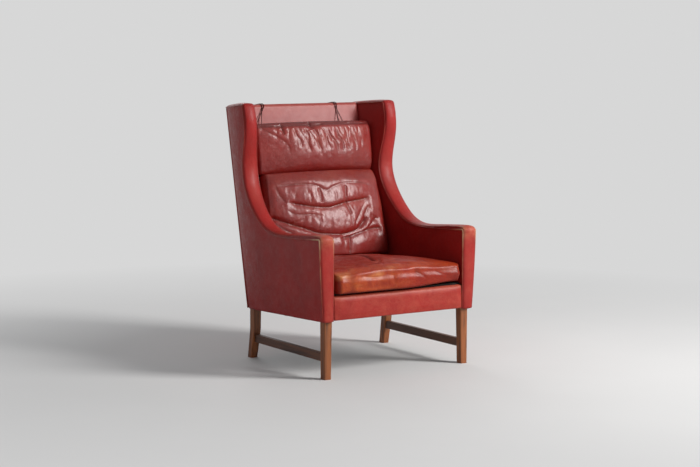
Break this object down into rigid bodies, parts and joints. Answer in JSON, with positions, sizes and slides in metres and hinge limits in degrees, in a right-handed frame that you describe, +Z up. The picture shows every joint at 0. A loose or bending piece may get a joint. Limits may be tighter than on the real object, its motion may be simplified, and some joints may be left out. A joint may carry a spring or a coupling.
{
  "type": "wingback chair",
  "caption": "High-backed wing chair in leather with loose seat and back cushions, a laced neck pillow with counterweights, and a low wooden underframe.",
  "frame": {"origin": "on the floor, under the middle of the chair's overall width and depth", "axes": "+Z up, -Y towards the front of the chair, +X towards the right side in a view from the front"},
  "size_m": [0.7406, 0.8014, 1.0291],
  "materials": {
    "leather": "worn oxblood leather",
    "padding": "padding and filling",
    "webbing": "woven webbing",
    "lining": "thin dark lining",
    "frame_wood": "plain sawn hardwood",
    "leg_wood": "oiled reddish brown hardwood",
    "bolts": "plain steel",
    "lace": "dark round leather lace",
    "weight_core": "cast iron"
  },
  "bodies": {
    "frame": {"apron_cover": "leather", "apron_padding": "padding", "back_padding": "padding", "back_webbing": "webbing", "corner_blocks": "frame_wood", "dust_cover": "lining", "front_seat_rail": "frame_wood", "inner_back_cover": "leather", "left_arm_rail": "frame_wood", "left_back_post": "frame_wood", "left_edge_band": "leather", "left_front_lace": "lace", "left_front_leg": "leg_wood", "left_front_post": "frame_wood", "left_inner_piping": "leather", "left_inner_side_cover": "leather", "left_lace_over_back": "lace", "left_outer_piping": "leather", "left_outer_side_cover": "leather", "left_rear_lace": "lace", "left_rear_leg": "leg_wood", "left_side_padding": "padding", "left_side_seat_rail": "frame_wood", "left_stretcher": "leg_wood", "left_wing_board": "frame_wood", "leg_bolts": "bolts", "lower_back_rail": "frame_wood", "outer_back_cover": "leather", "rear_seat_rail": "frame_wood", "right_arm_rail": "frame_wood", "right_back_post": "frame_wood", "right_edge_band": "leather", "right_front_lace": "lace", "right_front_leg": "leg_wood", "right_front_post": "frame_wood", "right_inner_piping": "leather", "right_inner_side_cover": "leather", "right_lace_over_back": "lace", "right_outer_piping": "leather", "right_outer_side_cover": "leather", "right_rear_lace": "lace", "right_rear_leg": "leg_wood", "right_side_padding": "padding", "right_side_seat_rail": "frame_wood", "right_stretcher": "leg_wood", "right_wing_board": "frame_wood", "seat_deck": "lining", "seat_webbing": "webbing", "top_back_rail": "frame_wood"},
    "seat_cushion": {"seat_cushion_cover": "leather", "seat_cushion_filling": "padding"},
    "back_cushion": {"back_cushion_cover": "leather", "back_cushion_filling": "padding"},
    "neck_pillow": {"neck_pillow_cover": "leather", "neck_pillow_filling": "padding"},
    "counterweights": {"left_counterweight": "leather", "left_counterweight_core": "weight_core", "right_counterweight": "leather", "right_counterweight_core": "weight_core"}
  },
  "joints": [
    {"name": "seat_cushion_out", "type": "slide", "parent": "frame", "child": "seat_cushion", "axis": [0, -0.9993, 0.0386], "range_m": [0, 0.6]},
    {"name": "back_cushion_out", "type": "slide", "parent": "frame", "child": "back_cushion", "axis": [0, -0.9719, 0.2352], "range_m": [0, 0.6]},
    {"name": "neck_pillow_up", "type": "slide", "parent": "frame", "child": "neck_pillow", "axis": [0, 0.2352, 0.9719], "range_m": [0, 0.05], "deforming": ["left_front_lace", "right_front_lace"]},
    {"name": "counterweights_down", "type": "slide", "parent": "frame", "child": "counterweights", "axis": [0, 0, -1], "range_m": [0, 0.05], "deforming": ["left_rear_lace", "right_rear_lace"]}
  ],
  "couplings": [
    {"joint": "counterweights_down", "follows": "neck_pillow_up", "ratio": 1}
  ]
}
